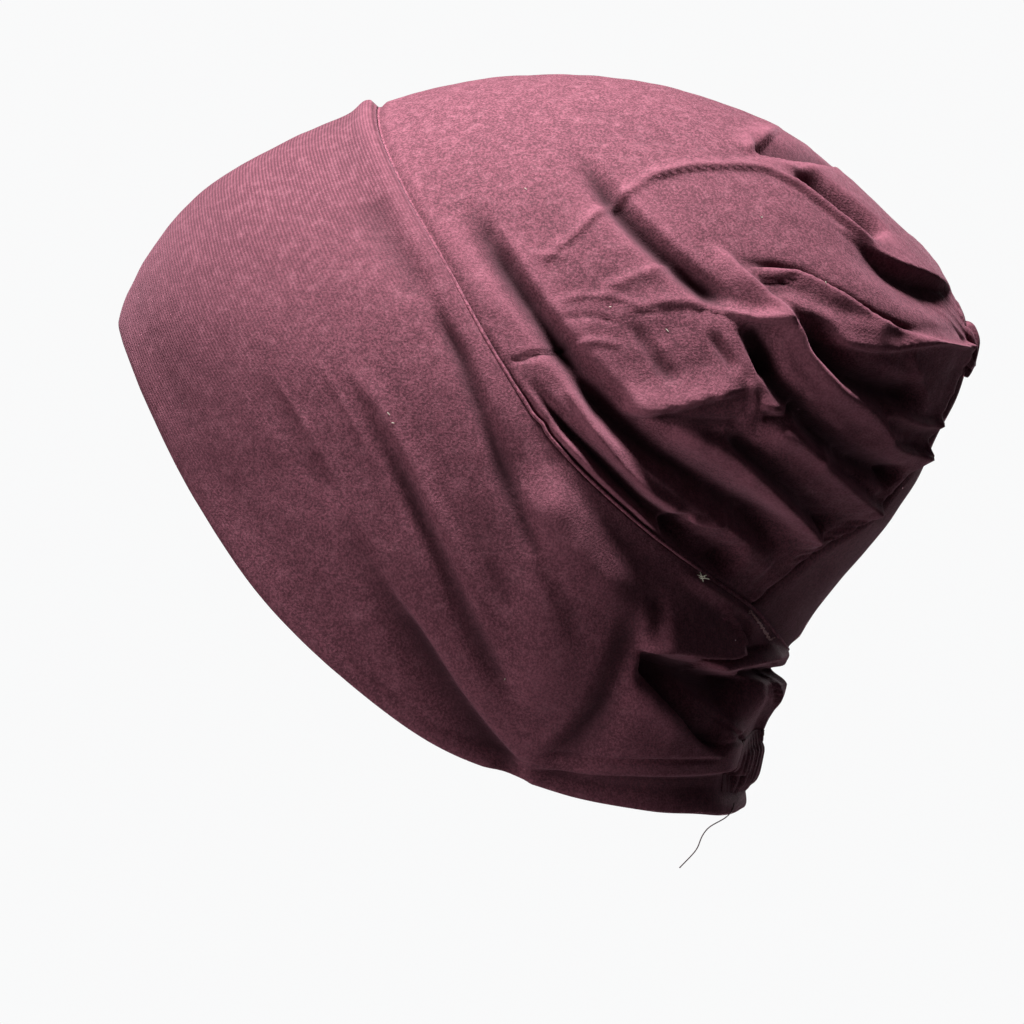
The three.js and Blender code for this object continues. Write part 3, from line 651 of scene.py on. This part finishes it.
# Strip: smooth cloth down the middle of the back, its edges rolled into the seams beside it
strip = {
    "across": 56, "down": 150, "wall": 1.1 * mm, "clothLength": 0.085, "clothWidth": 0.045,
    "proud": 0.9 * mm, "edge": 4 * mm, "rim": 1.5 * mm, "rimSunk": 1.2 * mm, "footSewn": 2.5 * mm,
    "wave": 0.5 * mm, "waveSize": 12 * mm,
}


def stripSpot(u, v):
    share = np.maximum(1 - v, 1e-4)
    left, right = stripPath(-share), stripPath(share)
    across = 2 * u - 1
    straight = between(stripPath(np.full_like(u, -1.0)), stripPath(np.full_like(u, 1.0)), u)
    foot = seamPath(np.where(across < 0, -1, 1) * (1 - (1 - stripFoot) * np.abs(across)))
    d = unit(between(left, right, u) + (foot - straight) * smooth(share)[:, None])
    base, normal = formPoint(d), formNormal(d)
    toEdge = (1 - np.abs(across)) * gap(left, right) / 2
    toFoot = (1 - share) * strip["clothLength"]
    full = smooth(toEdge / strip["edge"])
    lift = strip["proud"] * full - strip["rimSunk"] * (1 - smooth(toEdge / strip["rim"]))
    lift += strip["wave"] * softNoise(base, strip["waveSize"], 6) * full
    sewn = smooth(toFoot / strip["footSewn"])
    lift = lift * sewn - 0.5 * seam["depth"] * (1 - sewn)
    points = base + normal * lift[:, None]
    cloth = columns(across * strip["clothWidth"] / 2, v * strip["clothLength"])
    return points, cloth, lift, np.full_like(u, 0.4)


def makeStrip():
    return thicken(clothGrid("backCloth", strip["across"], strip["down"], stripSpot), strip["wall"])


backCloth = makeStrip()
print("back strip")

# Knot: the pinched end of the gathers at the top of the strip
knot = {
    "across": 64, "down": 40, "pleats": 7, "pleatDeep": 0.34, "lean": 1.5 * mm, "flat": 0.35,
    "wave": 0.35 * mm, "waveSize": 3 * mm, "clothWidth": 0.04, "clothLength": 0.03,
}
knotSections = [  # x, z in millimetres, half height, half width, across the knot from front to tip
    (91, -65.4, 1.6, 8), (96, -64.8, 2.6, 10), (100, -65, 4.4, 9.5), (103, -66.9, 5.8, 8),
    (104.8, -69.4, 5.4, 6), (105.8, -71.8, 3, 3.4),
]


def knotSpot(u, v):
    places = np.linspace(0, 1, len(knotSections))
    x, z, high, wide = (curveThrough(places, [row[k] for row in knotSections])(v) * mm for k in range(4))
    turn = 2 * math.pi * u
    groove = np.abs(np.cos(knot["pleats"] * turn / 2 + 2.5 * v)) ** 3
    pleat = 1 - knot["pleatDeep"] * groove * smooth((1.15 - v) * 3)
    close = np.sqrt(np.clip(1 - smooth((v - 0.9) / 0.1), 0, 1)) * np.where(v > 0.97, 0.5, 1)
    y = wide * pleat * np.sin(turn) * close
    up = high * pleat * np.cos(turn) * close
    points = columns(x + knot["flat"] * up + (v - 0.5) * knot["lean"], y, z + up)
    uneven = knot["wave"] * softNoise(points, knot["waveSize"], 8)
    points += uneven[:, None] * np.array((0.5, 0.3, 0.8))
    cloth = columns(u * knot["clothWidth"], v * knot["clothLength"])
    return points, cloth, np.full_like(u, mm), np.full_like(u, 0.2)


def makeKnot():
    piece = clothGrid("knotCloth", knot["across"], knot["down"], knotSpot, weld=True)
    bm = bmesh.new()
    bm.from_mesh(piece.data)
    bmesh.ops.holes_fill(bm, edges=[edge for edge in bm.edges if edge.is_boundary], sides=0)
    bmesh.ops.recalc_face_normals(bm, faces=bm.faces)
    for face in bm.faces:
        face.smooth = True
    bm.to_mesh(piece.data)
    bm.free()
    return piece


knotCloth = makeKnot()
print("knot at the top of the strip")

# Casing: elastic at the nape, with small upright gathers
casing = {
    "across": 150, "down": 36, "half": 27 * mm, "from": 1.5 * mm, "high": 16 * mm, "wall": 1.2 * mm,
    "gathers": 15, "gatherWander": 2.5, "deep": 0.5 * mm, "clothLength": 0.062, "clothWidth": 0.018,
    "proud": 0.2 * mm, "full": 0.5 * mm, "rimSunk": 1.3 * mm,
    "pulledAt": (0.22, 0.8), "pulledWidth": 0.06, "pulled": 0.6,  # where its stitches draw it in
    "stitchedAt": (0.2, 0.82), "stitches": 42,
}


def casingSpot(u, v):
    across = 1 - 2 * u
    near = 0.9  # a place along the hem to measure its length from
    half = (1 - near) * casing["half"] / gap(hemPath(near), hemPath(1.0))
    share = np.where(across < 0, -1, 1) * (1 - half * np.abs(across))
    hem, seamAt = hemPath(share), seamPath(share)
    d = between(hem, seamAt, (casing["from"] + casing["high"] * v) / gap(hem, seamAt))
    base, normal = formPoint(d), formNormal(d)
    lift, shift = foldBoth(bandFolds, base, normal, band["stray"])
    rim = smooth(np.minimum(v, 1 - v) / 0.3) * smooth((1 - np.abs(across)) / 0.45)
    wander = casing["gatherWander"] * noiseAlong(across * 2, 0.2, 12)
    ripple = np.cos(math.pi * casing["gathers"] * across + wander)
    rows = 1 - sum(casing["pulled"] * np.exp(-((v - at) / casing["pulledWidth"]) ** 2)
                   for at in casing["pulledAt"])
    lift += casing["proud"] + rim * rows * (casing["full"] + casing["deep"] * ripple)
    lift -= casing["rimSunk"] * (1 - rim)
    points = base + normal * lift[:, None] + shift
    cloth = columns(across * casing["clothLength"] / 2, v * casing["clothWidth"])
    return points, cloth, lift, np.full_like(u, 0.3)


def makeCasing():
    return thicken(clothGrid("napeCloth", casing["across"], casing["down"], casingSpot), casing["wall"])


napeCloth = makeCasing()
print("nape casing")


# Shader sockets that take part in Python sums and products
class Wire:
    def __init__(self, tree, socket):
        self.tree, self.socket = tree, socket

    def math(self, operation, first, second=0.0):
        node = self.tree.nodes.new("ShaderNodeMath")
        node.operation = operation
        for slot, value in zip(node.inputs, (first, second)):
            if isinstance(value, Wire):
                self.tree.links.new(value.socket, slot)
            else:
                slot.default_value = value
        return Wire(self.tree, node.outputs[0])

    def __add__(self, other):
        return self.math("ADD", self, other)

    __radd__ = __add__

    def __sub__(self, other):
        return self.math("SUBTRACT", self, other)

    def __rsub__(self, other):
        return self.math("SUBTRACT", other, self)

    def __mul__(self, other):
        return self.math("MULTIPLY", self, other)

    __rmul__ = __mul__

    def __pow__(self, other):
        return self.math("POWER", self, other)

    def sine(self):
        return self.math("SINE", self)

    def clamp(self):
        return self.math("MINIMUM", self.math("MAXIMUM", self, 0.0), 1.0)


class Finish:
    def __init__(self, name):
        self.material = bpy.data.materials.new(name)
        self.material.use_nodes = True
        self.tree = self.material.node_tree
        self.tree.nodes.clear()

    def node(self, kind, settings=None, inputs=None, output=0):
        node = self.tree.nodes.new("ShaderNode" + kind)
        for key, value in (settings or {}).items():
            setattr(node, key, value)
        for key, value in (inputs or {}).items():
            if isinstance(value, Wire):
                self.tree.links.new(value.socket, node.inputs[key])
            else:
                node.inputs[key].default_value = value
        return Wire(self.tree, node.outputs[output]) if node.outputs else None

    def surface(self, inputs):
        self.node("OutputMaterial", {}, {0: self.node("BsdfPrincipled", {}, inputs)})
        return self.material

    def mixColor(self, factor, a, b, blend="MIX"):
        settings = {"data_type": "RGBA", "blend_type": blend}
        return self.node("Mix", settings, {0: factor, 6: a, 7: b}, 2)

    def noise(self, where, size, detail=2.0, rough=0.5):
        inputs = {"Vector": where, "Scale": 1 / size, "Detail": detail, "Roughness": rough}
        return self.node("TexNoise", {}, inputs)


# Jersey: rounded wales across the cloth, fine courses along it, and paler flecks, with painted shade in the
# hollows of the folds and a painted highlight on their crests
jersey = {
    "wale": 1.0 * mm, "course": 0.8 * mm, "sway": 2.2 * mm, "rough": 0.86, "relief": 0.22 * mm,
    "fleck": 0.6 * mm, "fibre": 0.22 * mm, "mottle": 2.6 * mm,
    "deep": (0.05, 0.0145, 0.022, 1), "body": (0.165, 0.05, 0.072, 1), "pale": (0.42, 0.165, 0.215, 1),
    # crestHighlight and paintedHollowShade are painted light: a highlight for fold crests and shade for their
    # hollows
    "crestHighlight": (0.3, 0.1, 0.14, 1), "paintedHollowShade": (0.03, 0.009, 0.014, 1), "sheen": (0.9, 0.42, 0.55, 1),
}


def jerseyFinish(name, ribs=1.0, tone=1.0, crestHighlight=1.0):
    f = Finish(name)
    cloth = f.node("UVMap", {"uv_map": "knit"})
    u = f.node("SeparateXYZ", {}, {0: cloth}, 0)
    v = f.node("SeparateXYZ", {}, {0: cloth}, 1)
    spot = f.node("TexCoord", {}, {}, 3)
    sway = f.noise(spot, jersey["sway"], 2) - 0.5
    wales = (v * (2 * math.pi / jersey["wale"]) + sway * 1.6).sine() * 0.5 + 0.5
    courses = (u * (2 * math.pi / jersey["course"]) + wales * 2.4 + sway * 3.0).sine() * 0.5 + 0.5
    fleck = f.noise(spot, jersey["fleck"], 2.5, 0.62)
    fibre = f.noise(spot, jersey["fibre"], 2, 0.6)
    mottle = f.noise(spot, jersey["mottle"], 3, 0.55)
    rise = f.node("Attribute", {"attribute_name": "rise"}, {}, 2) * (1 / mm)
    # painted highlight: fold crests, where the cloth rises over the cloth around it, are made paler and
    # flecked
    paintedCrestLight = ((rise - 0.1) * 0.7).clamp() * (0.35 + 0.65 * fleck) * crestHighlight
    speck = ((fleck - 0.5) * 4.6 + (fibre - 0.5) * 1.6 + 0.5).clamp()
    clear = f.node("Attribute", {"attribute_name": "ribbed"}, {}, 2)
    plain = 1 - clear * (0.55 * ribs)  # flecks give way to ribs where the cloth is stretched smooth
    knit = (1 - plain * 0.9 * (1 - speck)) * (1 - ribs * clear * (1 - wales)) * (0.92 + 0.08 * courses)
    color = f.mixColor(knit.clamp(), jersey["deep"], jersey["body"])
    lint = ((fibre - 0.56) * 5).clamp() * ((fleck - 0.45) * 5).clamp()
    color = f.mixColor(lint * 0.5, color, jersey["pale"])
    color = f.mixColor(((mottle - 0.5) * 3.2).clamp() * 0.2, color, jersey["pale"])
    color = f.mixColor(((0.5 - mottle) * 3.2).clamp() * 0.3, color, jersey["deep"])
    color = f.mixColor(paintedCrestLight * 0.5, color, jersey["crestHighlight"])
    # painted shade: the hollows of the folds darken towards a near-black
    color = f.mixColor(((-0.1 - rise) * 0.36).clamp() ** 0.85 * 0.9, color, jersey["paintedHollowShade"])
    # tone darkens or pales a whole copy of the jersey: it paints shade on the back pieces and a highlight on
    # the seam
    color = f.mixColor(1.0, color, (tone, tone, tone, 1), "MULTIPLY")
    relief = wales * clear * (0.8 * ribs) + courses * 0.15 + speck * 0.4 + fibre * 0.35
    bump = f.node("Bump", {}, {"Strength": 0.55, "Distance": jersey["relief"], "Height": relief})
    inputs = {
        "Base Color": color, "Roughness": jersey["rough"] + (fleck - 0.5) * 0.2, "Normal": bump,
        "Sheen Weight": 0.14, "Sheen Roughness": 0.5, "Sheen Tint": jersey["sheen"],
        "Specular IOR Level": 0.15,
    }
    return f.surface(inputs)


bandFinish = jerseyFinish("bandJersey", ribs=0.95, tone=0.88, crestHighlight=0.5)
crownFinish = jerseyFinish("crownJersey", ribs=0.5, tone=0.86)
# the back strip and the nape casing get a darker copy of the same jersey: painted shade
shadedBackFinish = jerseyFinish("shadedBackJersey", ribs=0.3, tone=0.62)
# the seam ridge gets a paler copy of the same jersey: painted highlight
litSeamFinish = jerseyFinish("litSeamJersey", ribs=0.2, tone=1.3)
print("jersey finishes")

for piece, node, slot, finish in (
    (bandCloth, "front_band", "band_jersey", bandFinish),
    (crownCloth, "crown", "crown_jersey", crownFinish),
    (seamRoll, "crown_seam", "seam_thread", litSeamFinish),
    (backCloth, "back_strip", "back_jersey", shadedBackFinish),
    (knotCloth, "back_strip", "back_jersey", crownFinish),
    (napeCloth, "nape_casing", "back_jersey", shadedBackFinish),
):
    piece.data.materials.append(finish)
    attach(piece, "root")
    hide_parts(node)

# Threads: short bare strands that lie on the cloth, each a round wire through a few points
threads = {
    "thick": 0.3 * mm, "stitch": 0.24 * mm, "tuft": 0.24 * mm, "fluff": 0.16 * mm,
    "fibre": 0.3 * mm, "relief": 0.05 * mm,
}


# The outermost place of a piece at a spot of the side view, in millimetres
def spotOn(piece, x, z):
    spots = np.empty(len(piece.data.vertices) * 3)
    piece.data.vertices.foreach_get("co", spots)
    spots = spots.reshape(-1, 3)
    away = np.hypot(spots[:, 0] - x * mm, spots[:, 2] - z * mm) + np.where(spots[:, 1] > 0, 1, 0)
    near = spots[np.argsort(away)[:6]]
    return Vector(near[near[:, 1].argmin()])


def strandPiece(name, paths, thick, finish):
    data = bpy.data.curves.new(name, "CURVE")
    data.dimensions, data.bevel_depth, data.bevel_resolution, data.use_fill_caps = "3D", thick / 2, 2, True
    data.resolution_u = 6
    for path in paths:
        line = data.splines.new("NURBS")
        line.points.add(len(path) - 1)
        for point, place in zip(line.points, path):
            point.co = (*place, 1)
        line.order_u, line.use_endpoint_u = min(4, len(path)), True
    data.materials.append(finish)
    piece = putInScene(name, data)
    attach(piece, "root")


def threadFinish(name, dark, pale):
    f = Finish(name)
    spot = f.node("TexCoord", {}, {}, 3)
    fibre = f.noise(spot, threads["fibre"], 2, 0.6)
    color = f.mixColor(((fibre - 0.35) * 3).clamp(), dark, pale)
    bump = f.node("Bump", {}, {"Strength": 0.5, "Distance": threads["relief"], "Height": fibre})
    inputs = {"Base Color": color, "Roughness": 0.7 + fibre * 0.2, "Normal": bump}
    return f.surface(inputs)


darkThread = threadFinish("darkThread", (0.05, 0.02, 0.022, 1), (0.1, 0.045, 0.05, 1))
sergedThread = threadFinish("sergedThread", (0.45, 0.2, 0.23, 1), (0.85, 0.58, 0.58, 1))
fluffThread = threadFinish("fluffThread", (0.35, 0.32, 0.24, 1), (0.7, 0.66, 0.55, 1))
clothThread = threadFinish("clothThread", (0.07, 0.022, 0.032, 1), (0.16, 0.055, 0.075, 1))
outward = Vector((0, -1, 0))

# the loose thread at the nape hem
start = spotOn(bandCloth, 45, -182)
loosePath = [  # in millimetres from there
    (0.5, 0.6, 1.5), (0.2, -0.6, -0.8), (-2.4, -1.2, -2.8), (-6, -1.4, -4.2), (-8, -1, -7.5),
    (-8.4, -0.4, -10), (-11, 0.4, -12.5), (-13, 0.8, -14.6),
]
loosePath = [start + Vector(step) * mm for step in loosePath]
strandPiece("looseThread", [loosePath], threads["thick"], darkThread)

# the tuft where the seam's thread is tied off, and bits of fluff on the cloth
tuft = spotOn(bandCloth, 37, -124) + 0.4 * mm * outward
tuftPaths = [  # in millimetres from there
    ((-1.6, 0, 1.2), (-0.6, -0.8, 0.6), (0.8, -0.4, 0.4)),
    ((-1.2, 0, -0.2), (0.2, -0.9, 0.3), (1.8, -0.3, -0.1)),
    ((-0.4, 0.1, 1.6), (0.1, -0.6, 0.4), (0.4, 0, -0.8)),
    ((-1.9, 0, 0.3), (-0.6, -0.6, 0.1), (1.2, -0.5, 0.9)),
]
tuftPaths = [[tuft + Vector(step) * mm for step in path] for path in tuftPaths]
strandPiece("tuftStrands", tuftPaths, threads["tuft"], fluffThread)

fluffPaths = []
fluffSpots = [  # piece, place in the side view and length, in millimetres
    (crownCloth, 67.5, -52.5, 0.7), (crownCloth, 28.5, -64, 0.9), (crownCloth, -6, -29, 0.6),
    (crownCloth, 15, -58, 0.4), (bandCloth, -40, -84, 0.8), (bandCloth, -39, -86, 0.6),
    (crownCloth, 52, -36, 0.4), (bandCloth, -12, -150, 0.4),
]
dice = random.Random(5)
for piece, x, z, size in fluffSpots:
    middle = spotOn(piece, x, z) + 0.15 * mm * outward
    turn = dice.uniform(0, math.pi)
    half = Vector((math.cos(turn), 0, math.sin(turn))) * size * mm / 2
    fluffPaths.append([middle - half, middle + 0.1 * mm * outward, middle + half])
strandPiece("fluffBits", fluffPaths, threads["fluff"], fluffThread)

# the overlocked end of the seam: loops of pale thread that turn in at the foot
serging = {"turns": 22, "from": (49.6, -132.6), "way": (5.4, -7.8),
           "rows": ((0.8, 0), (1.3, 0.35), (0.5, 0.6))}  # half width and shift along
zigzags = []
for wide, shift in serging["rows"]:
    zigzag = []
    for k in range(serging["turns"]):
        share = (k + shift) / serging["turns"]
        x, z = (serging["from"][i] + serging["way"][i] * share for i in (0, 1))
        out = wide * (0.5 + 0.5 * share) * (1 if k % 2 else -1)
        zigzag.append(spotOn(bandCloth, x + 0.9 * out, z + 0.6 * out) + 0.7 * mm * outward)
    zigzags.append(zigzag)
strandPiece("seamEndStitches", zigzags, threads["thick"], sergedThread)

# two rows of stitches that hold the elastic
stitchPaths = []
for v in casing["stitchedAt"]:
    for u in np.linspace(0.06, 0.94, casing["stitches"]):
        ends = np.array([u, u + 0.005, u + 0.011])
        spots = casingSpot(ends, np.full(3, v))[0]
        aside = formNormal(unit(columns(spots[:, 0], spots[:, 1], spots[:, 2] + 0.1)))
        stitchPaths.append([Vector(spot) + Vector(way) * 0.12 * mm for spot, way in zip(spots, aside)])
strandPiece("casingStitches", stitchPaths, threads["stitch"], clothThread)
print("threads and stitches:", len(stitchPaths), "casing stitches")

# Studio: a pale floor well below with a lamp of its own, a lamp overhead and weak fills
studio = {
    "floorZ": -0.9, "floorRadius": 3, "floorSides": 96, "grain": 0.05,
    "floorLight": 3.6, "floorLampAngle": 40,
    "floor": (0.78, 0.78, 0.79, 1), "floorShade": (0.7, 0.7, 0.71, 1), "backdrop": (0.95, 0.952, 0.955, 1),
    "air": (0.95, 0.96, 1, 1), "airLight": 0.034, "aim": (0, 0, -0.09),
}
lamps = [  # name, place, size, watts, spread in degrees
    ("overhead", (-0.06, -0.17, 0.58), 0.18, 4.8, 90),
    ("front fill", (-1.1, -1.0, -0.05), 0.4, 12, 180),
    ("low fill", (-0.9, -1.3, -0.6), 0.5, 5, 180),
    ("far fill", (0.6, 1.5, 0.15), 0.6, 7, 180),
]


def makeFloor():
    bm = bmesh.new()
    bmesh.ops.create_circle(bm, cap_ends=True, radius=studio["floorRadius"], segments=studio["floorSides"])
    bmesh.ops.translate(bm, verts=bm.verts, vec=(0, 0, studio["floorZ"]))
    mesh = bpy.data.meshes.new("floor")
    bm.to_mesh(mesh)
    bm.free()
    floor = putInScene("floor", mesh)
    f = Finish("floor")
    grain = f.noise(f.node("TexCoord", {}, {}, 3), studio["grain"])
    color = f.mixColor(grain * 0.06, studio["floor"], studio["floorShade"])
    mesh.materials.append(f.surface({"Base Color": color, "Roughness": 0.9}))
    floor.visible_diffuse = False  # it throws no light back up under the cap
    return floor


def makeLamp(name, place, size, power, spread):
    data = bpy.data.lights.new(name, "AREA")
    data.shape, data.size, data.energy = "DISK", size, power
    data.spread = math.radians(spread)
    lamp = putInScene(name, data)
    lamp.location = place
    lamp.rotation_euler = (Vector(studio["aim"]) - Vector(place)).to_track_quat("-Z", "Y").to_euler()


# A far lamp from above that lights the floor alone, so that it stays pale under the cap's weak lamps
def makeFloorLamp(floor):
    data = bpy.data.lights.new("floor lamp", "SUN")
    data.energy, data.angle = studio["floorLight"], math.radians(studio["floorLampAngle"])
    lamp = putInScene("floor lamp", data)
    lit = bpy.data.collections.new("floorOnly")
    lit.objects.link(floor)
    lamp.light_linking.receiver_collection = lit


def makeWorld():
    world = bpy.data.worlds.new("studio")
    world.use_nodes = True
    tree = world.node_tree
    tree.nodes.clear()
    seen = tree.nodes.new("ShaderNodeBackground")
    seen.inputs[0].default_value = studio["backdrop"]
    dim = tree.nodes.new("ShaderNodeBackground")
    dim.inputs[0].default_value, dim.inputs[1].default_value = studio["air"], studio["airLight"]
    path = tree.nodes.new("ShaderNodeLightPath")
    mix = tree.nodes.new("ShaderNodeMixShader")
    out = tree.nodes.new("ShaderNodeOutputWorld")
    tree.links.new(path.outputs["Is Camera Ray"], mix.inputs[0])
    tree.links.new(dim.outputs[0], mix.inputs[1])
    tree.links.new(seen.outputs[0], mix.inputs[2])
    tree.links.new(mix.outputs[0], out.inputs[0])
    bpy.context.scene.world = world


makeFloorLamp(makeFloor())
makeWorld()
for lamp in lamps:
    makeLamp(*lamp)
bpy.context.scene.view_settings.view_transform = "Standard"
print("studio")
